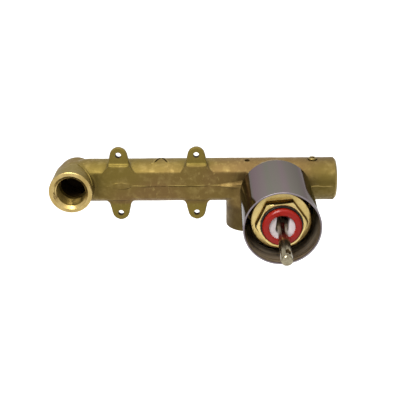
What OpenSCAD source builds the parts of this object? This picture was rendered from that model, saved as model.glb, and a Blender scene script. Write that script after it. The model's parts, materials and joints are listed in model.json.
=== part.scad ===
// Concealed single-lever shower valve: a cast brass body with one outlet and two inlets, and a
// ceramic disc cartridge under a round sleeve.
// The origin is the centre of the four lug holes, on the plane of the lugs' rear faces.
// +Z is up and -Y points into the room. Sizes are in millimetres.

/* [Body] */
// Distance from the outlet's axis to the cartridge's axis
outlet_spacing = 130; // [128:1:140]
// Distance from the centre of the lug pattern to the cartridge's axis
lug_centre_to_cartridge = 75; // [74:1:76]
// Outside diameter of the bar
bar_d = 28; // [27.6:0.1:28.4]
// Distance from the bar's axis to its flat front
bar_flat = 11; // [10.8:0.1:11.2]
// Length of the bar to the right of the cartridge's axis
bar_right = 40.4; // [40:0.1:44]
// Distance from the bar's axis to the outlet's face
outlet_reach = 22.5; // [21:0.5:26]
// Distance from the bar's axis to the lower inlet's face
inlet_drop = 32; // [31:0.5:36]
// Distance from the cartridge's axis to the lower inlet's axis
inlet_offset = 16.8; // [16:0.1:17]

/* [Sockets] */
// Inside diameter of the threaded sockets
socket_d = 18.6; // [18.4:0.1:18.8]
// Length of thread in each socket
socket_depth = 14; // [13:0.5:14.5]
// Inside diameter of the bar
bar_bore_d = 18; // [16:0.5:18]
// Diameter of the three channels that reach the cartridge
channel_d = 5.8; // [5:0.2:5.8]

/* [Fixing lugs] */
// Distance between the lug holes along the bar
lug_pitch_x = 50; // [48:1:52]
// Distance between the lug holes across the bar
lug_pitch_z = 40; // [39.5:0.5:41]
// Diameter of a lug hole
lug_hole_d = 3.8; // [3.2:0.1:4.5]
// Radius of a lug's round tip
lug_tip_r = 5.7; // [5.2:0.1:6]
// Thickness of a lug
lug_t = 4; // [3:0.5:4.5]
// Distance from the bar's axis to the lugs' front faces
lug_face = 9; // [8.5:0.5:9.5]

/* [Sleeve and nut] */
// Outside diameter of the cover sleeve
sleeve_d = 45.2; // [45:0.1:46]
// Wall of the cover sleeve
sleeve_wall = 0.95; // [0.8:0.05:1]
// Distance from the bar's axis to the sleeve's rear edge
sleeve_rear = 26.3; // [26.2:0.1:27]
// Distance from the bar's axis to the sleeve's front edge
sleeve_front = 78.6; // [78:0.1:82]
// Diameter of the retaining nut's flange
nut_flange_d = 35.6; // [35:0.1:36]
// Distance across the flats of the retaining nut
nut_flats = 26.6; // [26.2:0.1:27.4]
// Hole through the retaining nut
nut_hole_d = 24.6; // [24.5:0.1:24.8]
// Turn of the tightened nut away from level flats
nut_turn = 5.6; // [0:0.1:59]

/* [Cartridge] */
// Outside diameter of the cartridge
cartridge_d = 30; // [29.6:0.1:30]
// Diameter of the circle on which the three ports lie
port_circle_d = 14.8; // [14.4:0.1:15]
// Tooth count of the hub and the limit ring
tooth_count = 40; // [36:1:48]
// Largest turn of the lever to either side
temperature_range = 45; // [20:1:46]
// Distance from the lever's pivot to the middle of its ball end
ball_arm = 15; // [14.8:0.1:15]
// Droop of the lever below level when the valve is shut
lever_droop = 3.4; // [3:0.1:3.6]
// Turn of the lever from straight down as drawn, clockwise seen from the room
lever_turn = 6; // [0:1:10]
// Travel of the lever from shut to fully open
flow_range = 20; // [16:1:20]

/* [Lever] */
// Diameter of the lever at its handle seat
lever_d = 6.6; // [6:0.1:7]
// Distance from the pivot to the lever's tip
lever_reach = 47; // [44:0.1:50]

/* [Hidden] */
$fn = 96;

// Colours
cast_brass = [0.56, 0.49, 0.31];
turned_brass = [0.83, 0.72, 0.40];
gunmetal = [0.36, 0.33, 0.34];
red_plastic = [0.76, 0.13, 0.13];
white_plastic = [0.90, 0.87, 0.87];
black_plastic = [0.13, 0.12, 0.12];
ceramic = [0.93, 0.92, 0.88];
rubber = [0.09, 0.09, 0.09];
nickel = [0.70, 0.68, 0.62];

// Every module below draws in the valve's own directions: x to the right, y up, and z forward,
// out of the wall, with zero where the bar's axis crosses the cartridge's axis.
bar_r = bar_d / 2;
bar_y = lug_face - lug_t;
slack = 0.1;

// Bar, elbow and lower inlet
tube_r = bar_r - 0.1;
dome_r = 12.6;
dome_z = -7;
rim_h = 3;
rim_slope = 2.4;
bar_left = -outlet_spacing + 8;
edge_chamfer = 0.5;
mouth_r = socket_d / 2 + 2;
flat_left = -outlet_spacing + 9;
flat_right = -16;
seam_half_w = 0.35;
seam_h = 0.3;

// Fixing lugs and the raised pads between them
lug_x = [-lug_centre_to_cartridge - lug_pitch_x / 2, -lug_centre_to_cartridge + lug_pitch_x / 2];
lug_tip_y = lug_pitch_z / 2 - 0.7;
lug_taper = 12;
lug_root_y = 9;
lug_fillet_r = 4.5;
lug_fillet_y = 15.4;
pad_half_w = 6.9;
pad_fillet_r = 4.5;
pad_top_y = 13.5;
pad_bottom_y = 10.6;

// Chamber that carries the cartridge
floor_z = 38;
bell_r = sleeve_d / 2 - 0.3;
bell_z = sleeve_rear - 0.2;
collar_r = sleeve_d / 2 - sleeve_wall - 0.25;
collar_z = 42;
chamber_r = 18;
chamber_z = 64.5;
chamber_bore_r = cartridge_d / 2 + slack;
nut_thread_r = 16;
nut_thread_z = 59.2;
groove_r = 19.55;
groove_w = 2.6;
front_groove_z = 37.6;
rear_groove_z = 29.6;
o_ring_r = (sleeve_d / 2 - sleeve_wall - groove_r) / 2 - 0.03;
lower_block_r = 20.5;

// Ports: the inlets sit low at each side, the outlet high in the middle
port_r = channel_d / 2;
port_circle_r = port_circle_d / 2;
outlet_port = [0, port_circle_r];
cold_port = port_circle_r * [cos(-30), sin(-30)];
hot_port = port_circle_r * [-cos(-30), sin(-30)];
ports = [hot_port, cold_port, outlet_port];
peg_at = [11.5, 5];
peg_r = 1.2;
peg_h = 2.7;

// Plugs on top of the bar
service_at = [25.2, 1];
service_head_r = 2.75;
service_stem_r = 2.25;
service_low_y = 9.6;
service_seat_y = 13.2;
service_top_y = 15;
gallery_at = [-17.1, 2.4];
gallery_r = 1.7;
gallery_low_y = 9.6;
gallery_top_y = 12.5;

// Cartridge, in the order of its height above the bar's axis
base_z = floor_z + 0.05;
base_top_z = 42;
disc_t = 3;
disc_gap = 0.05;
fixed_disc_r = 12.6;
moving_disc_r = 9.8;
carrier_z = base_top_z + 2 * disc_t;
carrier_top_z = 53.6;
carrier_r = 10;
carrier_half_w = 8.8;
flange_z = 53.9;
flange_top_z = 56.4;
flange_r = 12.9;
shoulder_z = 56.6;
shoulder_top_z = 58.6;
skirt_bore_r = 13.2;
neck_r = 12.1;
neck_bore_r = 11.5;
neck_top_z = 74.4;
guide_r = neck_bore_r - 0.08;
guide_top_z = 71.5;
guide_groove_r = 9.85;
guide_groove_z = 58.8;
guide_groove_w = 2;
hub_r = 8;
hub_top_z = 76;
tooth_h = 0.7;
tooth_gap = 0.12;
ring_z = guide_top_z + slack;
ring_top_z = 77.5;
ring_r = 11.1;
ring_flange_r = 11.45;
ring_flange_z = 74.7;
ring_bevel = 1;
key_at_x = 11.6;
key_r = 1.1;
clip_half_w = 2;

// Stop tab of the limit ring, and the notch that it runs in
tab_half_w = 1.2;
tab_r = 11.95;
tab_z = 72.5;
tab_top_z = 74.1;
notch_angle = temperature_range + asin(tab_half_w / tab_r) + 1.7;

// Lever and its pivot
pivot_z = 66;
pin_r = 1.25;
pin_half_l = 10.8;
slot_half_w = 3.75;
slot_half_h = 8.3;
slot_low_y = -0.9;
slot_z = 61;
tail_slot_half_w = 2.4;
lever_base_r = 3.4;
dimple_turn = -12;
dimple_inset = 6;
witness_inset = 1.3;
ball_r = 2;
tail_r = 1.5;
ball_rest_y = ball_arm * sin(lever_droop);
disc_travel = ball_arm * (sin(flow_range - lever_droop) + sin(lever_droop));
disc_rest_y = disc_travel / 2;

// Helpers

// Turns the valve's own directions into the frame of the part
module in_place() {
    translate([lug_centre_to_cartridge, bar_y, 0]) rotate([90, 0, 0]) children();
}

// The same for parts that turn with the lever
module in_place_turned() {
    in_place() rotate([0, 0, -lever_turn]) children();
}

// Ring between two radii and two heights
module ring(outer_r, inner_r, z0, z1) {
    translate([0, 0, z0])
        difference() {
            cylinder(r = outer_r, h = z1 - z0);
            translate([0, 0, -1]) cylinder(r = inner_r, h = z1 - z0 + 2);
        }
}

// Rubber ring of round section
module o_ring(middle_r, section_r, z) {
    translate([0, 0, z]) rotate_extrude() translate([middle_r, 0]) circle(r = section_r, $fn = 32);
}

// Straight drilling from one point to another
module drilling(from, to, r) {
    way = to - from;
    length = norm(way);
    translate(from) rotate([0, acos(way[2] / length), atan2(way[1], way[0])]) cylinder(r = r, h = length);
}

// Threaded socket that opens upwards at z = 0, with its tapered mouth
module socket(depth, drill_r, drill_depth) {
    translate([0, 0, -depth]) cylinder(r = socket_d / 2, h = depth + 1);
    translate([0, 0, -2]) cylinder(r1 = socket_d / 2, r2 = mouth_r, h = 2);
    translate([0, 0, -0.01]) cylinder(r = mouth_r, h = 1);
    translate([0, 0, -drill_depth]) cylinder(r = drill_r, h = drill_depth);
}

// Tube end that stands on z = 0, with a small chamfer at its face
module boss(r, h) {
    cylinder(r = r, h = h - edge_chamfer);
    translate([0, 0, h - edge_chamfer]) cylinder(r1 = r, r2 = r - edge_chamfer, h = edge_chamfer);
}

// Outline with one pointed tooth per step, in phase at angle zero
module toothed_outline(tip_r, root_r) {
    step = 360 / tooth_count;
    polygon([for (i = [0 : tooth_count - 1], half = [0, 1])
        (half == 0 ? tip_r : root_r) * [cos((i + half / 2) * step), sin((i + half / 2) * step)]]);
}

// Valve body

module bar() {
    difference() {
        union() {
            translate([bar_left, 0, 0]) rotate([0, 90, 0]) boss(bar_r, bar_right - bar_left);
            translate([bar_left, 0, 0]) sphere(r = bar_r - 0.05);
        }
        translate([flat_left, -bar_r - 1, bar_flat])
            cube([flat_right - flat_left, 2 * bar_r + 2, bar_r]);
    }
}

// Outlet tube with a thicker rim and a domed rear end
module outlet_elbow() {
    translate([-outlet_spacing, 0, 0]) {
        translate([0, 0, dome_z]) sphere(r = dome_r + 0.05);
        translate([0, 0, dome_z]) cylinder(r = dome_r, h = outlet_reach - dome_z - 2);
        translate([0, 0, outlet_reach - rim_h - rim_slope])
            cylinder(r1 = dome_r, r2 = tube_r, h = rim_slope);
        translate([0, 0, outlet_reach - rim_h]) boss(tube_r, rim_h);
    }
}

module lower_inlet() {
    translate([-inlet_offset, 0, 0]) rotate([90, 0, 0]) boss(tube_r, inlet_drop);
}

// Concave corner that runs from an upright side at x = side out to a level edge
module corner_fillet(side, r, y0, y1) {
    for (dir = [-1, 1])
        difference() {
            translate([dir > 0 ? 0 : -side - r, y0]) square([side + r, y1 - y0]);
            translate([dir * (side + r), y1]) circle(r = r);
        }
}

module lug_outline(filleted) {
    tangent = lug_tip_r * [cos(lug_taper), sin(lug_taper)] + [0, lug_tip_y];
    root_half_w = tangent[0] + (tangent[1] - lug_root_y) * tan(lug_taper);
    translate([0, lug_tip_y]) circle(r = lug_tip_r);
    polygon([[-root_half_w, lug_root_y], [root_half_w, lug_root_y], tangent, [-tangent[0], tangent[1]]]);
    if (filleted) corner_fillet(pad_half_w - 0.2, lug_fillet_r, lug_root_y, lug_fillet_y);
}

module pad_outline(top, flared) {
    translate([-pad_half_w, 0]) square([2 * pad_half_w, top]);
    if (flared) corner_fillet(pad_half_w, pad_fillet_r, 5, top - 0.3);
}

// Pair of lugs, one above and one below the bar, with the pad that joins them
module lug_pair() {
    for (lower = [false, true]) mirror([0, lower ? 1 : 0, 0]) {
        translate([0, 0, lug_face - lug_t]) linear_extrude(lug_t) lug_outline(lower);
        translate([0, 0, lug_face - lug_t + 1])
            linear_extrude(bar_flat - lug_face + lug_t - 1)
                pad_outline(lower ? pad_bottom_y : pad_top_y, !lower);
    }
}

// Bell, collar and wall of the chamber
module chamber_outside() {
    rotate_extrude()
        polygon([[0, 1], [14.5, 6], [17.4, 11], [19.2, 16], [bell_r, bell_z - 1], [bell_r, bell_z], [collar_r, bell_z],
            [collar_r, rear_groove_z], [groove_r, rear_groove_z], [groove_r, rear_groove_z + groove_w],
            [collar_r, rear_groove_z + groove_w],
            [collar_r, front_groove_z], [groove_r, front_groove_z], [groove_r, front_groove_z + groove_w],
            [collar_r, front_groove_z + groove_w], [collar_r, collar_z - 0.8], [collar_r - 0.8, collar_z],
            [chamber_r + 1, collar_z], [chamber_r, collar_z + 1], [chamber_r, chamber_z], [0, chamber_z]]);
    intersection() {
        translate([0, 0, 4]) cylinder(r = lower_block_r, h = bell_z - 4.5);
        translate([-bar_r * 2, -bar_r * 2, 0]) cube([bar_r * 4, bar_r * 2 - 2, bell_z]);
    }
}

// Mould seam, ground gate and flow mark, all slightly proud
module casting_marks() {
    translate([flat_left + 4, -seam_half_w, bar_flat - 1])
        cube([flat_right - flat_left - 5, 2 * seam_half_w, 1 + seam_h]);
    translate([16, -seam_half_w, bar_r - 1])
        cube([bar_right - 16.6, 2 * seam_half_w, 1 + seam_h]);
    translate([lug_x[0] + 1, 0, bar_flat - 1])
        linear_extrude(1.45)
            intersection_for(side = [-1, 1]) translate([0, side * 10.3]) circle(r = 12.6);
    intersection() {
        translate([-90, 0, 0]) rotate([0, 90, 0]) cylinder(r = bar_r + 0.45, h = 40);
        translate([-73, 8, -3.4])
            for (side = [0, 1]) mirror([side, 0, 0])
                rotate([0, 28.5, 0]) translate([-0.6, 0, -0.6]) cube([1.2, 8, 11.4]);
    }
}

module waterways() {
    // Outlet side: drilling down the bar, socket in the elbow, channel from the chamber
    translate([-outlet_spacing - 1, 0, 0])
        rotate([0, 90, 0]) cylinder(r = bar_bore_d / 2, h = outlet_spacing + 2);
    translate([-outlet_spacing, 0, outlet_reach]) socket(socket_depth, 8.4, outlet_reach - dome_z + 1);
    drilling([outlet_port[0], outlet_port[1], 0], [outlet_port[0], outlet_port[1], floor_z + 0.5], port_r);
    // Cold side: right socket and its narrow way to the chamber
    translate([bar_right, 0, 0]) rotate([0, 90, 0]) socket(socket_depth, 8.4, socket_depth + 2.4);
    translate([5, 0, 0]) rotate([0, 90, 0]) cylinder(r = 4.5, h = 22);
    drilling([cold_port[0], cold_port[1], -1], [cold_port[0], cold_port[1], floor_z + 0.5], port_r);
    // Hot side: lower socket and its slanted way to the chamber
    translate([-inlet_offset, -inlet_drop, 0]) rotate([90, 0, 0]) socket(socket_depth, 7, inlet_drop - 12.3);
    drilling([-inlet_offset + 4, -14.2, 3], [hot_port[0], hot_port[1], floor_z + 0.5], port_r);
}

module chamber_inside() {
    translate([0, 0, floor_z]) cylinder(r = chamber_bore_r, h = chamber_z);
    translate([0, 0, nut_thread_z - 1]) cylinder(r = nut_thread_r + slack, h = chamber_z);
    for (side = [-1, 1])
        translate([side * peg_at[0], peg_at[1], floor_z - peg_h - 0.3]) cylinder(r = peg_r + slack, h = 5);
}

module plug_holes() {
    translate([service_at[0], 0, service_at[1]]) rotate([-90, 0, 0]) {
        translate([0, 0, 4]) cylinder(r = service_stem_r + 0.05, h = 20);
        translate([0, 0, service_seat_y]) cylinder(r = service_head_r + 0.4, h = 10);
    }
    translate([gallery_at[0], 0, gallery_at[1]])
        rotate([-90, 0, 0]) translate([0, 0, 5]) cylinder(r = gallery_r, h = 20);
}

module valve_body() {
    color(cast_brass) in_place()
        difference() {
            union() {
                bar();
                outlet_elbow();
                lower_inlet();
                for (x = lug_x) translate([x, 0, 0]) lug_pair();
                chamber_outside();
                casting_marks();
            }
            waterways();
            chamber_inside();
            plug_holes();
            for (x = lug_x, y = [-1, 1])
                translate([x, y * lug_pitch_z / 2, 0]) cylinder(r = lug_hole_d / 2, h = 20);
        }
}

// Plugs

module gallery_plug() {
    color(turned_brass) in_place()
        translate([gallery_at[0], 0, gallery_at[1]])
            rotate([-90, 0, 0]) translate([0, 0, gallery_low_y])
                cylinder(r = gallery_r - 0.02, h = gallery_top_y - gallery_low_y);
}

module service_plug() {
    color(turned_brass) in_place()
        translate([service_at[0], 0, service_at[1]]) rotate([-90, 0, 0])
            difference() {
                union() {
                    translate([0, 0, service_low_y])
                        cylinder(r = service_stem_r, h = service_seat_y - service_low_y);
                    translate([0, 0, service_seat_y])
                        boss(service_head_r, service_top_y - service_seat_y);
                }
                translate([0, 0, service_top_y - 2]) cylinder(r = 1.6, h = 5, $fn = 6);
            }
}

// Sleeve and its seals

module cover_sleeve() {
    outer = sleeve_d / 2;
    inner = outer - sleeve_wall;
    edge = 0.25;
    color(gunmetal) in_place()
        rotate_extrude()
            polygon([[inner, sleeve_rear], [outer, sleeve_rear], [outer, sleeve_front - edge],
                [outer - edge, sleeve_front], [inner + edge, sleeve_front], [inner, sleeve_front - edge]]);
}

module sleeve_o_ring(z) {
    color(rubber) in_place() o_ring(groove_r + o_ring_r + 0.02, o_ring_r, z + groove_w / 2);
}

module sleeve_o_ring_front() {
    sleeve_o_ring(front_groove_z);
}

module sleeve_o_ring_rear() {
    sleeve_o_ring(rear_groove_z);
}

// Nut and washer that hold the cartridge down

module retaining_nut() {
    flange_top = chamber_z + 2.5;
    hex_top = 73.5;
    corner_r = nut_flats / 2 / cos(30);
    hole_r = nut_hole_d / 2;
    color(turned_brass) in_place()
        difference() {
            union() {
                ring(nut_thread_r, hole_r, nut_thread_z, chamber_z + 1);
                translate([0, 0, chamber_z]) boss(nut_flange_d / 2, flange_top - chamber_z);
                intersection() {
                    rotate([0, 0, nut_turn]) cylinder(r = corner_r, h = hex_top, $fn = 6);
                    rotate_extrude()
                        polygon([[0, chamber_z], [corner_r + 1, chamber_z], [corner_r + 1, hex_top - 1.4],
                            [nut_flats / 2 + 0.3, hex_top], [0, hex_top]]);
                }
            }
            translate([0, 0, nut_thread_z - 1]) cylinder(r = hole_r, h = 30);
        }
}

module nut_slip_washer() {
    color(white_plastic) in_place() ring(nut_thread_r - 0.2, neck_r + slack, shoulder_top_z, nut_thread_z);
}

// Cartridge parts that stay still

module cartridge_housing() {
    color(black_plastic) in_place()
        difference() {
            rotate_extrude()
                polygon([[skirt_bore_r, base_top_z], [cartridge_d / 2, base_top_z],
                    [cartridge_d / 2, shoulder_top_z], [neck_r, shoulder_top_z], [neck_r, neck_top_z],
                    [neck_bore_r, neck_top_z], [neck_bore_r, shoulder_z], [skirt_bore_r, shoulder_z]]);
            // Notch in the neck's rim for the stop tab
            translate([0, 0, tab_z - 0.3])
                linear_extrude(5)
                    polygon([[0, 0], 30 * [-sin(notch_angle), -cos(notch_angle)],
                        30 * [sin(notch_angle), -cos(notch_angle)]]);
            // Notches for the base's clips
            translate([-20, -clip_half_w - slack, base_top_z - 1]) cube([40, 2 * (clip_half_w + slack), 4.2]);
        }
}

module base_outline(r, web_w) {
    for (p = ports) translate(p) circle(r = r);
    for (i = [0, 1]) {
        way = ports[i + 1] - ports[i];
        translate(ports[i]) rotate(atan2(way[1], way[0])) translate([0, -web_w / 2]) square([norm(way), web_w]);
    }
}

module cartridge_base() {
    color(white_plastic) in_place()
        difference() {
            union() {
                translate([0, 0, base_z]) cylinder(r = cartridge_d / 2, h = base_top_z - base_z);
                for (side = [-1, 1]) {
                    translate([side * peg_at[0], peg_at[1], floor_z - peg_h]) cylinder(r = peg_r, h = peg_h + 1);
                    translate([side * key_at_x, 0, base_top_z - 1]) cylinder(r = key_r, h = 3.4);
                }
                intersection() {
                    ring(cartridge_d / 2, skirt_bore_r + slack, base_top_z - 1, base_top_z + 3);
                    translate([-20, -clip_half_w, base_top_z - 2]) cube([40, 2 * clip_half_w, 6]);
                }
            }
            for (p = ports) translate([p[0], p[1], base_z - 1]) {
                cylinder(r = port_r, h = 10);
                cylinder(r = port_r + 1.9, h = 1 + 1.6);
            }
            translate([0, 0, base_top_z - 1.2]) linear_extrude(2) base_outline(port_r + 2.1, 2.2);
        }
}

module port_seal(at) {
    color(rubber) in_place() translate([at[0], at[1], 0])
        ring(port_r + 1.8, port_r + 0.2, floor_z, base_z + 1.55);
}

module hot_port_seal() {
    port_seal(hot_port);
}

module cold_port_seal() {
    port_seal(cold_port);
}

module outlet_port_seal() {
    port_seal(outlet_port);
}

module disc_gasket() {
    color(rubber) in_place()
        translate([0, 0, base_top_z - 1.15])
            linear_extrude(1.15)
                difference() {
                    base_outline(port_r + 2, 2);
                    for (p = ports) translate(p) circle(r = port_r + 0.3);
                }
}

module fixed_disc() {
    color(ceramic) in_place()
        translate([0, 0, base_top_z])
            difference() {
                cylinder(r = fixed_disc_r, h = disc_t);
                for (p = ports) translate([p[0], p[1], -1]) cylinder(r = port_r, h = disc_t + 2);
                for (side = [-1, 1])
                    translate([side * key_at_x, 0, -1]) cylinder(r = key_r + 0.15, h = disc_t + 2);
            }
}

// Cartridge parts that slide with the lever's ball end

module moving_disc() {
    bottom = base_top_z + disc_t + disc_gap;
    color(ceramic) in_place_turned()
        translate([0, disc_rest_y, 0])
            difference() {
                translate([0, 0, bottom]) cylinder(r = moving_disc_r, h = carrier_z - bottom);
                // Mixing hollow in the lower face
                translate([0, 0, bottom - 1])
                    linear_extrude(2.55) {
                        translate([0, 3]) circle(r = 5.2);
                        translate([-5, -1.6]) square([10, 4.4]);
                        for (side = [-1, 1]) translate([side * 5, 0.6]) circle(r = 2.2);
                    }
                for (side = [-1, 1])
                    translate([side * 7.6, 0, carrier_z - 1.1]) cylinder(r = 1.1, h = 2);
            }
}

module disc_carrier() {
    color(white_plastic) in_place_turned()
        difference() {
            translate([0, disc_rest_y, 0]) {
                intersection() {
                    translate([0, 0, carrier_z]) cylinder(r = carrier_r, h = carrier_top_z - carrier_z);
                    translate([-carrier_half_w, -20, carrier_z - 1]) cube([2 * carrier_half_w, 40, 10]);
                }
                for (side = [-1, 1]) translate([side * 7.6, 0, carrier_z - 1]) cylinder(r = 1, h = 2);
            }
            // Pocket for the lever's ball end
            translate([-tail_slot_half_w, ball_rest_y - ball_r - 0.15, carrier_z + 0.8])
                cube([2 * tail_slot_half_w, 2 * (ball_r + 0.15), 10]);
        }
}

// Cartridge parts that turn with the lever

module stem_guide() {
    rail_x = carrier_half_w + 0.3;
    color(white_plastic) in_place_turned()
        difference() {
            union() {
                translate([0, 0, flange_z]) cylinder(r = flange_r, h = flange_top_z - flange_z);
                rotate_extrude()
                    polygon([[0, flange_z + 1], [guide_r, flange_z + 1], [guide_r, guide_groove_z],
                        [guide_groove_r, guide_groove_z], [guide_groove_r, guide_groove_z + guide_groove_w],
                        [guide_r, guide_groove_z + guide_groove_w], [guide_r, guide_top_z],
                        [0, guide_top_z]]);
                translate([0, 0, guide_top_z - 1])
                    linear_extrude(hub_top_z - guide_top_z + 1) toothed_outline(hub_r, hub_r - tooth_h);
                // Rails that turn the disc carrier
                intersection() {
                    translate([0, 0, 49.5]) cylinder(r = flange_r, h = flange_z - 49);
                    for (side = [-1, 1])
                        translate([side > 0 ? rail_x : -rail_x - 10, -4.5, 49.5]) cube([10, 9, 5]);
                }
            }
            // Slot for the lever, round at its lower end, and the wider sweep of its tail
            translate([0, 0, slot_z]) linear_extrude(20) {
                translate([-slot_half_w, slot_low_y]) square([2 * slot_half_w, slot_half_h - slot_low_y]);
                translate([0, slot_low_y]) circle(r = slot_half_w);
            }
            translate([-tail_slot_half_w, -slot_half_h, flange_z - 1])
                cube([2 * tail_slot_half_w, 2 * slot_half_h, slot_z - flange_z + 2]);
            translate([-20, 0, pivot_z]) rotate([0, 90, 0]) cylinder(r = pin_r + 0.02, h = 40);
        }
}

module guide_o_ring() {
    section_r = (neck_bore_r - guide_groove_r) / 2 - 0.04;
    color(rubber) in_place()
        o_ring(guide_groove_r + section_r + 0.02, section_r, guide_groove_z + guide_groove_w / 2);
}

module limit_ring() {
    color(red_plastic) in_place_turned() {
        difference() {
            union() {
                rotate_extrude()
                    polygon([[0, ring_z], [ring_r, ring_z], [ring_r, ring_flange_z],
                        [ring_flange_r, ring_flange_z], [ring_flange_r, ring_top_z - ring_bevel],
                        [ring_flange_r - ring_bevel, ring_top_z], [0, ring_top_z]]);
                translate([-tab_half_w, -tab_r, tab_z]) cube([2 * tab_half_w, 3, tab_top_z - tab_z]);
            }
            translate([0, 0, ring_z - 1])
                linear_extrude(10) toothed_outline(hub_r + tooth_gap, hub_r - tooth_h + tooth_gap);
        }
    }
}

module pivot_pin() {
    color(nickel) in_place_turned()
        translate([-pin_half_l, 0, pivot_z]) rotate([0, 90, 0]) cylinder(r = pin_r, h = 2 * pin_half_l);
}

// Lever: its own axis runs through the pivot, and droops when the valve is shut
module lever() {
    seat_r = lever_d / 2;
    shank_r = 2.75;
    color(nickel) in_place_turned()
        translate([0, 0, pivot_z]) rotate([lever_droop, 0, 0])
            difference() {
                union() {
                    translate([0, 0, -ball_arm]) sphere(r = ball_r, $fn = 48);
                    rotate_extrude()
                        polygon([[0, -ball_arm], [tail_r, -ball_arm], [tail_r, -4.6],
                            [lever_base_r, -3.4], [lever_base_r, 9.5], [lever_base_r - 0.25, 10.1],
                            [shank_r + 0.2, 10.6], [shank_r, 11], [shank_r, 16], [seat_r, 29],
                            [seat_r, lever_reach - 0.7], [seat_r - 0.7, lever_reach], [0, lever_reach]]);
                }
                translate([-10, 0, 0]) rotate([0, 90, 0]) cylinder(r = pin_r + 0.06, h = 20);
                // Screw dimple and witness hole on top of the tip
                translate([0, 0, lever_reach - dimple_inset]) rotate([0, 0, dimple_turn]) rotate([-90, 0, 0]) {
                    translate([0, 0, seat_r - 1.1]) cylinder(r1 = 0.9, r2 = 2, h = 1.2);
                    cylinder(r = 0.9, h = seat_r);
                }
                translate([0, 0, lever_reach - witness_inset]) rotate([-90, 0, 0])
                    translate([0, 0, 1]) cylinder(r = 0.55, h = seat_r);
            }
}

valve_body();
gallery_plug();
service_plug();
cover_sleeve();
sleeve_o_ring_front();
sleeve_o_ring_rear();
retaining_nut();
nut_slip_washer();
cartridge_housing();
cartridge_base();
hot_port_seal();
cold_port_seal();
outlet_port_seal();
disc_gasket();
fixed_disc();
moving_disc();
disc_carrier();
stem_guide();
guide_o_ring();
limit_ring();
pivot_pin();
lever();
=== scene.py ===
import json
import math

import bmesh
import bpy
from mathutils import Matrix, Vector, noise

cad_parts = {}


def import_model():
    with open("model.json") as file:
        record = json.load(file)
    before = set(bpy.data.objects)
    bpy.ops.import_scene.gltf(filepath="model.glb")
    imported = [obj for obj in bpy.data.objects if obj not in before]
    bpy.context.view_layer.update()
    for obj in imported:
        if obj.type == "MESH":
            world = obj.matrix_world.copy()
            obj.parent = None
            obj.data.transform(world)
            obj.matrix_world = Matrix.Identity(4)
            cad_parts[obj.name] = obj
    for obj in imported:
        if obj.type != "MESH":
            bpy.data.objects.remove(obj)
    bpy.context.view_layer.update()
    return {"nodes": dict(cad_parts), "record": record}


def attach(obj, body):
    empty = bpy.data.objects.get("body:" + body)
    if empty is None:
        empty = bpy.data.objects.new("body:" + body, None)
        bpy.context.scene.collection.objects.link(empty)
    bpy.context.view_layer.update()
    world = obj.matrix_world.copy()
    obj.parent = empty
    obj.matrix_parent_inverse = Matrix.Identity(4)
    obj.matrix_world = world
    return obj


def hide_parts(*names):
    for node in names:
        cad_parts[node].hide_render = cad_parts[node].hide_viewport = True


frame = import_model()
RECORD = frame["record"]
NODES = frame["nodes"]
MOUNTS = {mount["name"]: mount for mount in RECORD["mounts"]}
SLOTS = {part["node"]: part["material_slot"] for part in RECORD["subparts"]}
BODIES = {node: body for body, nodes in RECORD["behaviour"]["bodies"].items() for node in nodes}

MM = 0.001

# Shapes are drawn in millimetres in the valve's own directions: x to the right, y up and z out of
# the wall, with zero where the bar's axis crosses the cartridge's axis
CARTRIDGE_X = MOUNTS["trim_sleeve"]["pos_m"][0] / MM
BAR_Y = MOUNTS["right_inlet"]["pos_m"][1] / MM
IN_PLACE = Matrix(((1, 0, 0, CARTRIDGE_X), (0, 0, -1, BAR_Y), (0, 1, 0, 0), (0, 0, 0, 1)))
TO_METRES = Matrix.Scale(MM, 4) @ IN_PLACE
FROM_METRES = TO_METRES.inverted()

# Body: the bar and its flat front, the tubes of the outlet and the lower inlet, and the openings
BAR_R = 14
FLAT_Z = 11
TUBE_R = 13.9
OUTLET_X = -130
OUTLET_REACH = 22.5
RIGHT_END = 40.4
INLET_X = -16.8
INLET_DROP = 32

# Chamfers: round the outlet and the lower inlet, and round the right end
FACE_CHAMFER = 0.5
END_CHAMFER = 1.3

# Sockets: core and depth of the thread, its pitch and groove, and the tapered mouth
SOCKET_R = MOUNTS["outlet"]["dims"]["r_mm"]
SOCKET_DEPTH = 14
PITCH = 1.814
GROOVE_DEPTH = 1.1
MOUTH_R = 11.3
MOUTH_DEPTH = 2

# Lugs: places and radius of the holes, the lugs' back and front, and half their width
LUG_X = (-100, -50)
LUG_Y = 20
LUG_HOLE_R = 1.9
LUG_BACK = 5
LUG_FACE = 9
LUG_HALF = 7

# Bores along the bar, behind the sockets, from the right inlet inwards, and in the lower inlet
BAR_BORE_R = 9
END_BORE_R = 8.4
OUTLET_BORE_BACK = -8
RIGHT_BORE_DEPTH = 16.4
COLD_WAY_R = 4.5
COLD_WAY_X = (5, 27)
LOWER_WAY_R = 7
LOWER_WAY_TOP = -12.3

# Ports in the chamber's floor, where the cold one lies on their circle (the hot one mirrors it), and
# the foot of the slanting way to the hot one
PORT_R = 2.9
PORT_CIRCLE_R = 7.4
COLD_PORT_TURN = math.radians(-30)
HOT_WAY_FOOT = (INLET_X + 4, -14.2, 3)

# Holes in the chamber's floor for the cartridge's two pegs
PEG_X = 11.5
PEG_Y = 5
PEG_R = 1.3
PEG_FLOOR = 35

# Drillings on top of the bar, for the service plug, its seat and the gallery plug: x, z, height of
# the floor, and radius
TOP_BORES = ((25.2, 1, 4, 2.3), (25.2, 1, 12.2, 3.15), (-17.1, 2.4, 5, 1.7))

# Chamber: its bore, the wider bore for the nut, and its outside
CHAMBER_FLOOR = 38
CHAMBER_TOP = 64.5
CHAMBER_R = 18
CHAMBER_BORE_R = 15.1
NUT_BORE_R = 16.1
NUT_BORE_FLOOR = 58.2

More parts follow.
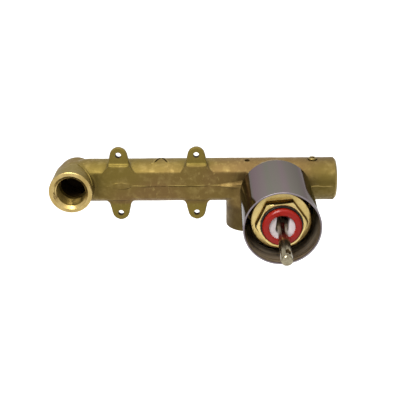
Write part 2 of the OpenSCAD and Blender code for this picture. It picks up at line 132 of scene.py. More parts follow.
# Machined collar behind the chamber, its edges and the grooves of its two rings
BELL_TOP = 26.1
COLLAR_R = 21.4
COLLAR_TOP = 42
COLLAR_EDGE = 0.8
COLLAR_ROOT = 1
GROOVE_R = 19.55
GROOVES = ((29.6, 32.2), (37.6, 40.2))

# Sleeve: wall, ends, rounding of the rim, edge at the rear, and how far the rim's finish runs inside
SLEEVE_R = MOUNTS["trim_sleeve"]["dims"]["r_mm"]
SLEEVE_WALL = 0.95
SLEEVE_REAR = 26.3
SLEEVE_FRONT = 78.6
RIM_R = 0.3
REAR_EDGE = 0.1
RIM_DEPTH = 1.3


# Shapes

def around(steps):
    """Angles of equal steps round a circle."""
    return [2 * math.pi * i / steps for i in range(steps)]


def lathe(outline, segments=96, closed=False):
    """Solid turned about z from (radius, height) points, listed anticlockwise."""
    bm = bmesh.new()
    rings_and_reflections = [[bm.verts.new((r * math.cos(a), r * math.sin(a), z))
              for a in around(segments if r else 1)] for r, z in outline]
    pairs = list(zip(rings_and_reflections, rings_and_reflections[1:]))
    if closed:
        pairs.append((rings_and_reflections[-1], rings_and_reflections[0]))
    for low, high in pairs:
        for i in range(segments):
            corners = (low[i % len(low)], low[(i + 1) % len(low)],
                       high[(i + 1) % len(high)], high[i % len(high)])
            bm.faces.new(list(dict.fromkeys(corners)))
    return bm


def loft(outlines):
    """Solid through closed outlines that all have the same number of points."""
    bm = bmesh.new()
    rings_and_reflections = [[bm.verts.new(point) for point in outline] for outline in outlines]
    for low, high in zip(rings_and_reflections, rings_and_reflections[1:]):
        for i in range(len(low)):
            j = (i + 1) % len(low)
            bm.faces.new((low[i], low[j], high[j], high[i]))
    bm.faces.new(rings_and_reflections[0][::-1])
    bm.faces.new(rings_and_reflections[-1])
    return bm


def hull(points):
    """Convex solid round some points."""
    bm = bmesh.new()
    bmesh.ops.convex_hull(bm, input=[bm.verts.new(point) for point in points])
    return bm


def bead(points, radius):
    """Thin round ridge along a line of points, half as thick at its ends."""
    sides = 8
    points = [Vector(point) for point in points]
    last = len(points) - 1
    outlines = []
    for i, point in enumerate(points):
        way = points[min(i + 1, last)] - points[max(i - 1, 0)]
        turn = way.to_track_quat("Z", "Y").to_matrix()
        r = radius / 2 if i in (0, last) else radius
        outlines.append([point + turn @ Vector((r * math.cos(a), r * math.sin(a), 0))
                         for a in around(sides)])
    return loft(outlines)


def aimed(bm, start, way):
    """Turns a solid's z axis to point along way, and moves it to start."""
    turn = Vector(way).to_track_quat("Z", "Y").to_matrix().to_4x4()
    bm.transform(Matrix.Translation(start) @ turn)
    return bm


def drill(start, end, radius):
    """Round bar from one point to another."""
    way = Vector(end) - Vector(start)
    return aimed(lathe(((0, 0), (radius, 0), (radius, way.length), (0, way.length))), start, way)


def copy_of(node):
    """A CAD node's mesh in the valve's own directions and millimetres."""
    bm = bmesh.new()
    bm.from_mesh(NODES[node].data)
    bm.transform(FROM_METRES)
    bmesh.ops.remove_doubles(bm, verts=bm.verts, dist=1e-4)
    return bm


def mesh_of(bm, *materials):
    """Mesh of a shape, with materials by name. The shape is used up."""
    mesh = bpy.data.meshes.new("scratch")
    bm.to_mesh(mesh)
    bm.free()
    for name in materials:
        mesh.materials.append(MATERIALS[name])
    return mesh


def placed(name, data):
    """Object in the scene that holds a mesh, a lamp or a camera."""
    item = bpy.data.objects.new(name, data)
    bpy.context.scene.collection.objects.link(item)
    return item


def modify(item, kind, **settings):
    """Adds a modifier."""
    modifier = item.modifiers.new(kind.lower(), kind)
    for key, value in settings.items():
        setattr(modifier, key, value)


def settled(item):
    """Mesh of a scratch object with its modifiers applied. The object goes."""
    shown = item.evaluated_get(bpy.context.evaluated_depsgraph_get())
    mesh = bpy.data.meshes.new_from_object(shown)
    bpy.data.objects.remove(item)
    return mesh


def carve(mesh, added, cutters):
    """Adds solids to a mesh and takes others out. Both come as pairs of a material's name and a shape."""
    item = placed("scratch", mesh)
    steps = [(*pair, "UNION") for pair in added] + [(*pair, "DIFFERENCE") for pair in cutters]
    tools = []
    for material, bm, operation in steps:
        tools.append(placed("scratch", mesh_of(bm, material)))
        modify(item, "BOOLEAN", operation=operation, solver="MANIFOLD", material_mode="TRANSFER",
               object=tools[-1])
    carved = settled(item)
    for tool in tools:
        bpy.data.objects.remove(tool)
    return carved


def piece(name, mesh, body, slot, *replaced, crease=35):
    """Finished piece from a mesh in the valve's directions."""
    mesh.transform(TO_METRES)
    mesh.name = name
    mesh.shade_smooth()
    mesh.set_sharp_from_angle(angle=math.radians(crease))
    item = placed(name, mesh)
    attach(item, body)
    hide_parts(*replaced)


# Node trees

class Tree:
    """Node tree of a material or a world, with short calls for the nodes used here."""

    def __init__(self, owner):
        owner.use_nodes = True
        self.owner = owner
        self.nodes = owner.node_tree.nodes
        self.links = owner.node_tree.links

    def put(self, node, key, value):
        """Sets a node's input, or links an output to it."""
        if isinstance(value, bpy.types.NodeSocket):
            self.links.new(value, node.inputs[key])
        else:
            node.inputs[key].default_value = value

    def set(self, **inputs):
        """Sets inputs of the material's shader. An underscore stands for a space."""
        for key, value in inputs.items():
            self.put(self.nodes["Principled BSDF"], key.replace("_", " "), value)

    def add(self, kind, inputs=None, **settings):
        node = self.nodes.new(kind)
        for key, value in settings.items():
            setattr(node, key, value)
        for key, value in (inputs or {}).items():
            self.put(node, key, value)
        return node

    def place(self):
        """Place on the object, in the record's directions and metres."""
        return self.add("ShaderNodeTexCoord").outputs["Object"]

    def axes(self, place):
        return self.add("ShaderNodeSeparateXYZ", {0: place}).outputs

    def stretch(self, place, scale):
        return self.add("ShaderNodeMapping", {"Vector": place, "Scale": scale}).outputs["Vector"]

    def noise(self, place, scale, detail=3.0, roughness=0.5):
        node = self.add("ShaderNodeTexNoise", {"Vector": place, "Scale": scale, "Detail": detail,
                                               "Roughness": roughness})
        return node.outputs["Fac"]

    def math(self, operation, first, second=0.0):
        node = self.add("ShaderNodeMath", {0: first, 1: second}, operation=operation)
        return node.outputs["Value"]

    def remap(self, value, low, high, to_low=0.0, to_high=1.0):
        node = self.add("ShaderNodeMapRange", {"Value": value, "From Min": low, "From Max": high,
                                               "To Min": to_low, "To Max": to_high})
        return node.outputs["Result"]

    def fade(self, length, start, end, depth=1.0):
        """0 where a length in metres is start millimetres, and depth where it is end millimetres."""
        return self.remap(length, start * MM, end * MM, 0.0, depth)

    def mix(self, factor, a, b):
        """Mix of two colours, which are inputs 6 and 7 and output 2 of the node."""
        return self.add("ShaderNodeMix", {0: factor, 6: a, 7: b}, data_type="RGBA").outputs[2]

    def bump(self, height, distance, strength, normal=None):
        """Normal of a relief that is distance millimetres high."""
        inputs = {"Height": height, "Distance": distance * MM, "Strength": strength}
        if normal is not None:
            inputs["Normal"] = normal
        return self.add("ShaderNodeBump", inputs).outputs["Normal"]

    def seen(self):
        """1 for rays from the camera, off a gloss or through glass, 0 for light on the object."""
        path = self.add("ShaderNodeLightPath").outputs
        direct = self.math("MAXIMUM", path["Is Camera Ray"], path["Is Glossy Ray"])
        return self.math("MAXIMUM", direct, path["Is Transmission Ray"])


def material_tree(name):
    return Tree(bpy.data.materials.new(name))


def rgb(red, green, blue):
    """Linear colour from the 0 to 255 values that a screen shows."""
    return tuple(((c / 255 + 0.055) / 1.055) ** 2.4 if c > 10 else c / 255 / 12.92
                 for c in (red, green, blue)) + (1.0,)


def grey(level):
    """Neutral colour of a linear brightness."""
    return level, level, level, 1.0


# Materials

# The lug tone is painted light on the lugs; the dark tone is painted shade in crevices and on the lower
# tube, and darkens the right end
CAST_TONES = {"olive": (118, 101, 46), "brown": (119, 95, 55), "light": (154, 134, 80),
              "dark": (44, 33, 12), "lug": (124, 107, 48)}

# Where the painted light on the lugs, the painted shade on the lower tube and the darker right end start,
# in the record's directions and millimetres: up or down from the bar's axis, forward through the lugs,
# left of the bell, below the bar and along the right end
LUG_ROOT = (12.5, 14.5)
LUG_MIDDLE = (1, -1)
LEFT_OF_BELL = (46, 42)
BELOW_BAR = (-13, -17)
ON_RIGHT_END = (90, 100)

# How near other surfaces have to be for painted shade in a crevice
CREVICE_SHADE_REACH = 14


def cast_brass():
    """Tumbled casting: olive and brown patches, a painted lighter tone on the lugs where they catch
    light, small bright nicks, painted shade in crevices and on the lower tube under the bar, and a darker
    right end.
    """
    t = material_tree("cast_brass")
    place = t.place()
    axes = t.axes(place)
    tones = {name: rgb(*tone) for name, tone in CAST_TONES.items()}
    patches = t.remap(t.noise(place, 22, 2, 0.4), 0.4, 0.6)
    tone = t.mix(patches, tones["olive"], tones["brown"])
    mottle = t.noise(place, 190, 4, 0.6)
    tone = t.mix(t.remap(mottle, 0.5, 0.72, 0, 0.45), tone, tones["light"])

    # Painted light: the lugs' faces get a lighter tone, standing in for the light they catch from above
    off_bar = t.fade(t.math("ABSOLUTE", axes["Z"]), *LUG_ROOT)
    in_front = t.fade(axes["Y"], *LUG_MIDDLE)
    on_left = t.fade(axes["X"], *LEFT_OF_BELL)
    lug_light_mask = t.math("MULTIPLY", t.math("MULTIPLY", off_bar, in_front), on_left)
    tone = t.mix(lug_light_mask, tone, tones["lug"])
    # Painted shade on the lower tube, under the bar and beside the bell; the right end is also made
    # darker
    painted_tube_shade = t.math("MULTIPLY", t.fade(axes["Z"], *BELOW_BAR, 0.6), t.remap(on_left, 1, 0))
    painted_shade_and_dark_end = t.math("MAXIMUM", painted_tube_shade, t.fade(axes["X"], *ON_RIGHT_END, 0.3))
    tone = t.mix(painted_shade_and_dark_end, tone, tones["dark"])

    nicks = t.remap(t.noise(t.stretch(place, (1, 1, 0.6)), 520, 2, 0.4), 0.61, 0.67)
    worn = t.remap(t.noise(place, 45, 2), 0.45, 0.65)
    nicks = t.math("MULTIPLY", nicks, worn)
    tone = t.mix(t.math("MULTIPLY", nicks, 0.55), tone, tones["light"])
    # Painted shade: surfaces near other surfaces darken towards the dark tone, from ambient occlusion
    crevice_shade_ao = t.add("ShaderNodeAmbientOcclusion", {"Distance": CREVICE_SHADE_REACH * MM}, samples=6).outputs["AO"]
    tone = t.mix(t.remap(crevice_shade_ao, 0.9, 0.35, 0, 0.85), tone, tones["dark"])

    grain = t.math("ADD", t.noise(place, 1100, 3, 0.6), nicks)
    t.set(Base_Color=tone, Metallic=0.8, Specular_IOR_Level=0.3,
          Roughness=t.remap(mottle, 0.3, 0.7, 0.62, 0.46),
          Normal=t.bump(grain, 0.06, 0.6, t.bump(mottle, 0.25, 0.5)))
    return t.owner


def painted_shade_brass():
    """Dark brass that paints shade in the drillings, in the lever's dimples and along the painted shadow
    lines on the casting.
    """
    t = material_tree("painted_shade_brass")
    place = t.place()
    t.set(Base_Color=t.mix(t.noise(place, 300), rgb(46, 34, 14), rgb(66, 50, 22)), Metallic=0.0,
          Specular_IOR_Level=0.1, Roughness=t.remap(t.noise(place, 500), 0.3, 0.7, 0.6, 0.75))
    return t.owner


def machined(name, dark, light, roughness):
    """Turned metal with faint tool marks and a thin tarnish in patches."""
    t = material_tree(name)
    place = t.place()
    tarnish = t.remap(t.noise(place, 150, 3, 0.6), 0.35, 0.65)
    t.set(Base_Color=t.mix(tarnish, dark, light), Metallic=1.0,
          Roughness=t.remap(t.noise(place, 500), 0.3, 0.7, roughness - 0.04, roughness + 0.04),
          Normal=t.bump(t.noise(place, 1300), 0.02, 0.4))
    return t.owner


def gunmetal():
    """Dark mirror plating, with faint painted reflection bands of mauve and grey-green along the sleeve.
    It doesn't brighten at the sides.
    """
    t = material_tree("gunmetal")
    place = t.place()
    reflection_bands = t.remap(t.noise(t.stretch(place, (1, 0.02, 1)), 130, 2), 0.35, 0.65)
    t.set(Base_Color=t.mix(reflection_bands, rgb(154, 138, 142), rgb(144, 142, 132)), Metallic=1.0,
          Specular_Tint=(0.35, 0.35, 0.34, 1.0),
          Roughness=t.remap(t.noise(place, 900), 0.3, 0.7, 0.05, 0.08))
    return t.owner


def bare_steel():
    """Inside of the sleeve, with rings from turning in the relief and roughness, and light and dark brown
    rings of painted reflection in the colour.
    """
    t = material_tree("bare_steel")
    rings_and_reflections = t.noise(t.stretch(t.place(), (0.03, 1, 0.03)), 620, 3, 0.6)
    t.set(Base_Color=t.mix(t.remap(rings_and_reflections, 0.35, 0.65), rgb(94, 81, 66), rgb(172, 157, 136)),
          Metallic=0.45, Roughness=t.remap(rings_and_reflections, 0.3, 0.7, 0.25, 0.4), Normal=t.bump(rings_and_reflections, 0.1, 0.5))
    return t.owner


def nickel():
    """Nickel with fine streaks along the lever."""
    t = material_tree("nickel")
    streaks = t.noise(t.stretch(t.place(), (1, 0.03, 1)), 1100, 3, 0.6)
    t.set(Base_Color=t.mix(t.remap(streaks, 0.35, 0.65), rgb(132, 122, 98), rgb(160, 152, 128)),
          Metallic=1.0, Roughness=t.remap(streaks, 0.35, 0.65, 0.14, 0.24),
          Normal=t.bump(streaks, 0.08, 0.4))
    return t.owner


def plastic(name, dark, light, roughness, gloss=0.5):
    """Plastic, rubber or ceramic with a very fine grain."""
    t = material_tree(name)
    place = t.place()
    t.set(Base_Color=t.mix(t.noise(place, 400), dark, light), Specular_IOR_Level=gloss,
          Roughness=t.remap(t.noise(place, 900), 0.3, 0.7, roughness - 0.05, roughness + 0.05),
          Normal=t.bump(t.noise(place, 2500), 0.02, 0.4))
    return t.owner


MATERIALS = {
    "cast_brass": cast_brass(),
    "painted_shade_brass": painted_shade_brass(),
    "turned_brass": machined("turned_brass", rgb(172, 147, 88), rgb(194, 170, 112), 0.26),
    "nut_brass": machined("nut_brass", rgb(204, 179, 112), rgb(222, 198, 134), 0.22),
    "plug_brass": machined("plug_brass", rgb(120, 102, 56), rgb(150, 130, 76), 0.3),
    "thread_brass": machined("thread_brass", rgb(88, 72, 34), rgb(118, 98, 50), 0.4),
    "worn_brass": machined("worn_brass", rgb(124, 106, 56), rgb(148, 129, 76), 0.5),
    "gunmetal": gunmetal(),
    "cut_edge": machined("cut_edge", rgb(126, 117, 121), rgb(146, 137, 140), 0.4),
    "bare_steel": bare_steel(),
    "red_plastic": plastic("red_plastic", rgb(156, 20, 8), rgb(170, 28, 12), 0.22, 0.3),
    "white_plastic": plastic("white_plastic", rgb(226, 214, 214), rgb(236, 226, 228), 0.4),
    "black_plastic": plastic("black_plastic", rgb(22, 20, 20), rgb(32, 30, 30), 0.4),
    "ceramic": plastic("ceramic", rgb(236, 233, 224), rgb(242, 240, 234), 0.2),
    "rubber": plastic("rubber", rgb(16, 16, 16), rgb(24, 24, 24), 0.5),
    "nickel": nickel(),
}

# Nodes that look different from the material that the record gives them
FINISHES = {"service_plug": "plug_brass", "gallery_plug": "plug_brass", "retaining_nut": "nut_brass"}


def material_of(node):
    """Name of a CAD node's material."""
    return FINISHES.get(node, SLOTS[node])


def dress_nodes():
    for node in SLOTS:
        mesh = NODES[node].data
        mesh.materials.clear()
        mesh.materials.append(MATERIALS[material_of(node)])


# Cutters

# How far cutters run past the surface that they open, in general and at a socket
PAST = 8
SOCKET_PAST = 1


def face_cut(radius, chamfer):
    """Clears what stands above z = 0 and leaves a chamfer round a tube of that radius."""
    clear = 0.2
    skirt = radius + 6
    return lathe(((0, 0), (radius - chamfer, 0), (radius + clear, -chamfer - clear),
                  (skirt, -chamfer - clear), (skirt, PAST), (0, PAST)))


def mouth():
    """Tapered mouth of a socket that opens at z = 0."""
    return lathe(((0, -MOUTH_DEPTH), (SOCKET_R, -MOUTH_DEPTH), (MOUTH_R, 0), (MOUTH_R, SOCKET_PAST),
                  (0, SOCKET_PAST)))


def groove(turn):
    """Depth of the thread's groove, from 0 to 1, at a place within one turn."""
    flat, flank = 1.25, 3.6
    return max(0, min(1, flat - abs(turn - 0.5) * flank))


def socket():
    """Threads of a socket that opens at z = 0. They run out over the deepest turn."""
    per_turn, per_pitch = 72, 8
    length = SOCKET_DEPTH + SOCKET_PAST
    steps = int(length * per_pitch / PITCH)
    outlines = []
    for k in range(steps + 1):
        z = -SOCKET_DEPTH + length * k / steps
        run_out = max(0, min(1, (z + SOCKET_DEPTH) / PITCH))
        outline = []
        for a in around(per_turn):
            turn = (z / PITCH - a / (2 * math.pi)) % 1
            radius = SOCKET_R + groove(turn) * GROOVE_DEPTH * run_out
            outline.append((radius * math.cos(a), radius * math.sin(a), z))
        outlines.append(outline)
    return loft(outlines)


def waterways(grown=0.0, past=PAST):
    """The plain bores in the body. Cutters run past the surface, and fillings end just under it."""
    cold_x = PORT_CIRCLE_R * math.cos(COLD_PORT_TURN)
    port_y = PORT_CIRCLE_R * math.sin(COLD_PORT_TURN)
    top = CHAMBER_FLOOR + 0.5
    ways = [
        ((OUTLET_X, 0, OUTLET_BORE_BACK), (OUTLET_X, 0, OUTLET_REACH), END_BORE_R),
        ((OUTLET_X - 1, 0, 0), (1, 0, 0), BAR_BORE_R),
        ((RIGHT_END - RIGHT_BORE_DEPTH, 0, 0), (RIGHT_END, 0, 0), END_BORE_R),
        ((COLD_WAY_X[0], 0, 0), (COLD_WAY_X[1], 0, 0), COLD_WAY_R),
        ((INLET_X, LOWER_WAY_TOP, 0), (INLET_X, -INLET_DROP, 0), LOWER_WAY_R),
        (HOT_WAY_FOOT, (-cold_x, port_y, top), PORT_R),
        ((cold_x, port_y, -1), (cold_x, port_y, top), PORT_R),
        ((0, PORT_CIRCLE_R, 0), (0, PORT_CIRCLE_R, top), PORT_R),
    ]
    ways += [((x, floor_y, z), (x, BAR_R + past, z), radius) for x, z, floor_y, radius in TOP_BORES]
    ways += [((x, PEG_Y, PEG_FLOOR), (x, PEG_Y, top), PEG_R) for x in (-PEG_X, PEG_X)]
    ways += [((x, y, LUG_BACK - past), (x, y, LUG_FACE + past), LUG_HOLE_R)
             for x in LUG_X for y in (-LUG_Y, LUG_Y)]
    return [drill(start, end, radius + grown) for start, end, radius in ways]


def chamber_inside(grown=0.0):
    """The chamber's bore and the wider bore for the nut."""
    bore, nut_bore = CHAMBER_BORE_R + grown, NUT_BORE_R + grown
    above = CHAMBER_TOP + 5
    return lathe(((0, CHAMBER_FLOOR), (bore, CHAMBER_FLOOR), (bore, NUT_BORE_FLOOR),
                  (nut_bore, NUT_BORE_FLOOR), (nut_bore, above), (0, above)))


def chamber_outside():
    """Clears the outside of the chamber down to the machined collar, its grooves and its rim."""
    above, clear_r = CHAMBER_TOP + 9, BAR_R * 2
    walls = [(0, CHAMBER_TOP), (CHAMBER_R, CHAMBER_TOP), (CHAMBER_R, COLLAR_TOP + COLLAR_ROOT),
             (CHAMBER_R + COLLAR_ROOT, COLLAR_TOP), (COLLAR_R - COLLAR_EDGE, COLLAR_TOP),
             (COLLAR_R, COLLAR_TOP - COLLAR_EDGE)]
    for low, high in reversed(GROOVES):
        walls += [(COLLAR_R, high), (GROOVE_R, high), (GROOVE_R, low), (COLLAR_R, low)]
    walls += [(COLLAR_R, BELL_TOP), (clear_r, BELL_TOP), (clear_r, above), (0, above)]
    return lathe(walls)


# Rough casting

VOXEL = 0.75
SMOOTHING = 6

# Fillings are wider than the bores by FILL_EXTRA. Those of the tubes lie under the skin and stand
# out of the open ends, which are cut flat again after smoothing
FILL_EXTRA = 0.4
FILL_SKIN = 0.1
FILL_PAST = 2
BAR_FILL_X = 20
INLET_FILL_Y = -10

# Length and height of the waves in the cast surface
WAVES = ((6.0, 0.08), (2.2, 0.05))


def rough_casting():
    """The body with its bores filled, remeshed and smoothed to the soft edges of a sand casting."""
    tube_r, bar_r = TUBE_R - FILL_SKIN, BAR_R - FILL_SKIN
    whole = copy_of("valve_body")
    fillings = waterways(FILL_EXTRA, -FILL_EXTRA) + [
        chamber_inside(FILL_EXTRA),
        drill((OUTLET_X, 0, 0), (OUTLET_X, 0, OUTLET_REACH + FILL_PAST), tube_r),
        drill((BAR_FILL_X, 0, 0), (RIGHT_END + FILL_PAST, 0, 0), bar_r),
        drill((INLET_X, INLET_FILL_Y, 0), (INLET_X, -INLET_DROP - FILL_PAST, 0), tube_r),
    ]
    for bm in fillings:
        mesh = mesh_of(bm)
        whole.from_mesh(mesh)
        bpy.data.meshes.remove(mesh)
    item = placed("scratch", mesh_of(whole))
    modify(item, "REMESH", mode="VOXEL", voxel_size=VOXEL)
    modify(item, "SMOOTH", factor=0.5, iterations=SMOOTHING)
    mesh = settled(item)
    normals = [vertex.normal.copy() for vertex in mesh.vertices]
    for vertex, normal in zip(mesh.vertices, normals):
        vertex.co += normal * sum(depth * noise.noise(vertex.co / length) for length, depth in WAVES)
    return mesh


# Marks on the casting

# Radii of the ridges and of the painted shadow lines beside them
SEAM_R = 0.42
END_SEAM_R = 0.45
FOLD_R = 0.5
FLOW_MARK_R = 0.6
SEAM_SHADOW_R = 0.22
GATE_SHADOW_R = 0.24

# Where the seams run along the bar's flat and the right end, and how deep they lie in the surface
SEAM_SPAN = range(-114, -17, 3)
END_SEAM_SPAN = range(18, 39, 2)
SEAM_SINK = 0.05

# The painted shadow line under the seam, and how far it lies below it
SEAM_SHADOW_SPAN = range(-86, -38, 3)
SEAM_SHADOW_DROP = 0.75

# Middle, half length and half height of the lens-shaped gate mark
GATE_X = -99
GATE_HALF = (6.5, 2.4)

# Middle of the flow mark on top of the bar, depth where its legs start, and how they spread
FLOW_MARK_X = -73
FLOW_MARK_Z = -3.4
FLOW_MARK_SLOPE = 0.53


def wavy(value, step, reach):
    """Small wander of a ridge, the same each time."""
    return reach * noise.noise(Vector((value / step, step, reach)))


def seam_y(x):
    """Height of the mould seam on the bar's flat."""
    return wavy(x, 9, 0.3)


def on_bar(x, z):
    """Point on top of the bar at depth z."""
    return x, math.sqrt(BAR_R ** 2 - z * z), z


def flow_mark_leg(side, shift):
    """One leg of the flow mark, shifted away from the mark's middle."""
    return [on_bar(FLOW_MARK_X + side * (FLOW_MARK_SLOPE * (z - FLOW_MARK_Z) + shift), z)
            for z in (FLOW_MARK_Z, -1, 1, 3, 4.8)]


def flow_mark_foot(side):
    """Short stroke outwards at the end of a leg."""
    return [on_bar(FLOW_MARK_X + side * x, 5) for x in (4, 5, 6.3)]


def gate_outline(scale, z):
    """Points round the gate mark: the upper half, then the lower one, each from right to left."""
    steps = 12
    half = [(GATE_X + scale * GATE_HALF[0] * math.cos(a), scale * GATE_HALF[1] * math.sin(a))
            for a in (math.pi * k / steps for k in range(steps + 1))]
    return [(x, side * y, z) for side in (1, -1) for x, y in half]


def gate():
    """Low lens on the bar's flat, where the metal was poured in and the rest ground off."""
    return hull(gate_outline(1, FLAT_Z - 1) + gate_outline(1, FLAT_Z + 0.1)
                + gate_outline(0.86, FLAT_Z + 0.5))


def web():
    """Web where the seam meets the bell. It starts as a low ridge and widens towards the bell."""
    start, end = -38, -15
    ridge = [(start, -0.8, FLAT_Z - 0.5), (start, 0.4, FLAT_Z - 0.5), (start, -0.2, FLAT_Z + 0.4)]
    foot = [(end, -2.2, FLAT_Z - 1), (end, 5.5, FLAT_Z - 1), (end, -1.9, FLAT_Z + 2.3),
            (end, 1.2, FLAT_Z + 1.9)]
    return hull(ridge + foot)


def fold():
    """Flow line on the right side of the elbow, which runs backwards as it rises."""
    start_z, fall = 20, 10
    turns = [0.2 + 0.14 * k for k in range(9)]
    return bead([(OUTLET_X + TUBE_R * math.cos(a), TUBE_R * math.sin(a), start_z - fall * a)
                 for a in turns], FOLD_R)


def flares():
    """Soft corners where the upper lugs meet the bar's flat, wider at the bar than at the lug."""
    inside, at_bar, at_lug = 5, LUG_HALF + 4.3, LUG_HALF - 0.3
    low, high = 8, 13
    corners = ((inside, low), (at_bar, low), (at_lug, high), (inside, high))
    return [hull([(x + side * across, y, z) for z in (LUG_BACK, FLAT_Z - 0.1) for across, y in corners])
            for x in LUG_X for side in (-1, 1)]


def raised_marks():
    """Mould seams and the flow mark, worn bright, and soft forms with the casting's own skin."""
    seam = [(x, seam_y(x), FLAT_Z - SEAM_SINK + wavy(x, 5, 0.4)) for x in SEAM_SPAN]
    end_seam = [(x, wavy(x, 4, 0.5), BAR_R - SEAM_SINK + wavy(x, 2, 0.2)) for x in END_SEAM_SPAN]
    ridges = [bead(seam, SEAM_R), bead(end_seam, END_SEAM_R)]
    for side in (-1, 1):
        ridges += [bead(flow_mark_leg(side, 0.9), FLOW_MARK_R), bead(flow_mark_foot(side), FLOW_MARK_R)]
    soft = [gate(), web(), fold(), *flares()]
    return [("worn_brass", bm) for bm in ridges] + [("cast_brass", bm) for bm in soft]


def painted_shadow_lines():
    """Painted shadow lines along the flow mark, under the seam and at the gate mark, cut as thin dark
    grooves.
    """
    lines = [bead(flow_mark_leg(side, -0.1), FLOW_MARK_R) for side in (-1, 1)]
    seam_shadow = [(x, seam_y(x) - SEAM_SHADOW_DROP, FLAT_Z) for x in SEAM_SHADOW_SPAN]
    # This painted shadow line passes unseen under the gate mark from end to end, then follows its lower
    # edge
    gate_shadow = [point for point in gate_outline(1.05, FLAT_Z) if point[1] < 0.1][:-2]
    lines += [bead(seam_shadow, SEAM_SHADOW_R), bead(gate_shadow, GATE_SHADOW_R)]
    return [("painted_shade_brass", bm) for bm in lines]


def casting():
    """The body: a rough casting with marks, machined faces, threads and bores."""
    outlet = ((OUTLET_X, 0, OUTLET_REACH), (0, 0, 1))
    right = ((RIGHT_END, 0, 0), (1, 0, 0))
    lower = ((INLET_X, -INLET_DROP, 0), (0, -1, 0))
    ends = (outlet, right, lower)
    turned = [chamber_outside(), chamber_inside(), aimed(face_cut(TUBE_R, FACE_CHAMFER), *outlet)]
    turned += [aimed(mouth(), *end) for end in ends]
    worn = [aimed(face_cut(BAR_R, END_CHAMFER), *right), aimed(face_cut(TUBE_R, FACE_CHAMFER), *lower)]
    cutters = [("turned_brass", bm) for bm in turned] + [("worn_brass", bm) for bm in worn]
    cutters += [("thread_brass", aimed(socket(), *end)) for end in ends]
    # The bores and the painted shadow lines take the dark brass of painted shade
    cutters += [("painted_shade_brass", bm) for bm in waterways()] + painted_shadow_lines()
    mesh = rough_casting()
    mesh.materials.append(MATERIALS["cast_brass"])
    piece("casting", carve(mesh, raised_marks(), cutters), "valve", "cast_brass", "valve_body")


# Sleeve

def arc(centre_r, centre_z, radius, start, end):
    """Points round an arc in the outline of a lathe, with angles in degrees."""
    steps = 6
    for i in range(steps + 1):
        angle = math.radians(start + (end - start) * i / steps)
        yield centre_r + radius * math.cos(angle), centre_z + radius * math.sin(angle)


def sleeve():
    """Thin tube with a rounded rim: plated outside, bare inside, with a duller finish on the rim."""
    outer, inner = SLEEVE_R, SLEEVE_R - SLEEVE_WALL
    rear, front = SLEEVE_REAR + REAR_EDGE, SLEEVE_FRONT - RIM_R
    hold = 0.05
    outline = [(inner + REAR_EDGE, SLEEVE_REAR), (outer - REAR_EDGE, SLEEVE_REAR), (outer, rear),
               (outer, rear + hold), (outer, front - hold)]
    outline += arc(outer - RIM_R, front, RIM_R, 0, 90)
    outline += arc(inner + RIM_R, front, RIM_R, 90, 180)
    outline += [(inner, front - hold), (inner, SLEEVE_FRONT - RIM_DEPTH), (inner, rear + hold),
                (inner, rear)]
    mesh = mesh_of(lathe(outline, 256, closed=True), "gunmetal", "bare_steel", "cut_edge")
    for face in mesh.polygons:
        inside = math.hypot(face.center.x, face.center.y) < inner + hold
        rim = SLEEVE_FRONT - (RIM_DEPTH if inside else RIM_R)
        face.material_index = 2 if face.center.z > rim else int(inside)
    piece("sleeve", mesh, "valve", "gunmetal", "cover_sleeve", crease=50)


# Small parts

# Width of the broken edges of each part
BROKEN_EDGES = {"retaining_nut": 0.25, "service_plug": 0.15, "gallery_plug": 0.2, "stem_guide": 0.12,
                "limit_ring": 0.15, "lever": 0.12, "cartridge_housing": 0.12}


def shade_dimples(mesh):
    """Paints shade on the walls and floors of the two small holes in the lever's seat."""
    seat = MOUNTS["handle_seat"]
    middle = FROM_METRES @ Vector(seat["pos_m"])
    way = (FROM_METRES.to_3x3() @ Vector(seat["axis"])).normalized()
    under_skin = seat["dims"]["r_mm"] - 0.12
    half_length = seat["dims"]["length_mm"] / 2 + 0.15
    mesh.materials.append(MATERIALS["painted_shade_brass"])
    for face in mesh.polygons:
        off = face.center - middle
        along = off.dot(way)
        if (off - along * way).length < under_skin and abs(along) < half_length:
            face.material_index = 1


def edge_broken(node, width):
    """A CAD node with its sharp edges rounded."""
    item = placed("scratch", mesh_of(copy_of(node), material_of(node)))
    modify(item, "BEVEL", width=width, segments=2, limit_method="ANGLE", angle_limit=math.radians(40),
           use_clamp_overlap=True, harden_normals=True)
    mesh = settled(item)
    if node == "lever":
        shade_dimples(mesh)
    piece(node + "_finished", mesh, BODIES[node], SLOTS[node], node)


# Stage, in metres

FLOOR_Z = -0.26
FLOOR_SIZE = 60

# The floor's brightness as the camera and the gloss see it, and as it throws light up
FLOOR_SEEN = 0.85
FLOOR_BOUNCE = 0.3

# How much the floor glows for the camera, from near to far, and between which depths that grows
GLOW = (0.15, 0.75)
GLOW_Y = (-0.3, 0.2)

# Light that the white studio throws on the object
WORLD_LIGHT = 0.45

# Area lamps: place, size in metres and power in watts
LAMPS = {"overhead": ((0.05, -0.05, 0.9), 0.9, 5), "key": ((-0.3, -0.7, 0.9), 0.5, 10)}
LAMPS_AIM = (0.03, 0, 0)


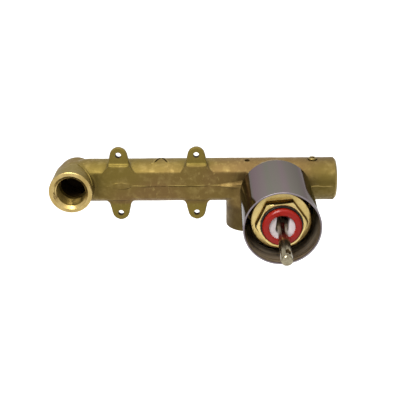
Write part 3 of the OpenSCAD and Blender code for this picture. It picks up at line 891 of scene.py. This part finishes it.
def floor():
    t = material_tree("floor")
    seen = t.seen()
    t.set(Base_Color=t.mix(seen, grey(FLOOR_BOUNCE), grey(FLOOR_SEEN)), Roughness=0.9)
    glow = t.math("MULTIPLY", seen, t.remap(t.axes(t.place())["Y"], *GLOW_Y, *GLOW))
    light = t.add("ShaderNodeEmission", {"Strength": glow})
    both = t.add("ShaderNodeAddShader", {0: t.nodes["Principled BSDF"].outputs[0], 1: light.outputs[0]})
    t.put(t.nodes["Material Output"], "Surface", both.outputs[0])
    bpy.ops.mesh.primitive_plane_add(size=FLOOR_SIZE, location=(0, 0, FLOOR_Z))
    plane = bpy.context.object
    plane.name = "floor"
    plane.data.materials.append(t.owner)


def world():
    """White studio, which the camera sees brighter than it lights the object."""
    t = Tree(bpy.data.worlds.new("studio"))
    bpy.context.scene.world = t.owner
    background = t.nodes["Background"]
    t.put(background, "Color", grey(1.0))
    t.put(background, "Strength", t.remap(t.seen(), 0.0, 1.0, WORLD_LIGHT, 1.0))


def lamp(name, place, size, power):
    data = bpy.data.lights.new(name, "AREA")
    data.shape = "SQUARE"
    data.size = size
    data.energy = power
    item = placed(name, data)
    item.location = place
    item.rotation_mode = "QUATERNION"
    item.rotation_quaternion = (Vector(LAMPS_AIM) - Vector(place)).to_track_quat("-Z", "Y")


# Camera, from the vanishing points and sizes in the photograph

CAMERA_AT = Vector((34.839, -495.978, 198.346)) * MM
CAMERA_DOWN = math.radians(23.0655)
CAMERA_YAW = math.radians(-0.9038)
CAMERA_ROLL = math.radians(-0.7359)
FOCAL_PX = 817.975
IMAGE_PX = 400
SENSOR_MM = 36


def camera():
    down, yaw = CAMERA_DOWN, CAMERA_YAW
    ahead = Vector((math.sin(yaw) * math.cos(down), math.cos(yaw) * math.cos(down), -math.sin(down)))
    level = Vector((math.cos(yaw), -math.sin(yaw), 0))
    over = level.cross(ahead)
    right = level * math.cos(CAMERA_ROLL) + over * math.sin(CAMERA_ROLL)
    up = over * math.cos(CAMERA_ROLL) - level * math.sin(CAMERA_ROLL)
    data = bpy.data.cameras.new("camera")
    data.sensor_width = SENSOR_MM
    data.lens = FOCAL_PX * SENSOR_MM / IMAGE_PX
    data.clip_start = 0.01
    item = placed("camera", data)
    turn = Matrix((right, up, -ahead)).transposed().to_4x4()
    item.matrix_world = Matrix.Translation(CAMERA_AT) @ turn
    bpy.context.scene.camera = item


camera()
world()
floor()
for name, (place, size, power) in LAMPS.items():
    lamp(name, place, size, power)
dress_nodes()
casting()
sleeve()
for node, width in BROKEN_EDGES.items():
    edge_broken(node, width)

bpy.context.scene.view_settings.view_transform = "Standard"
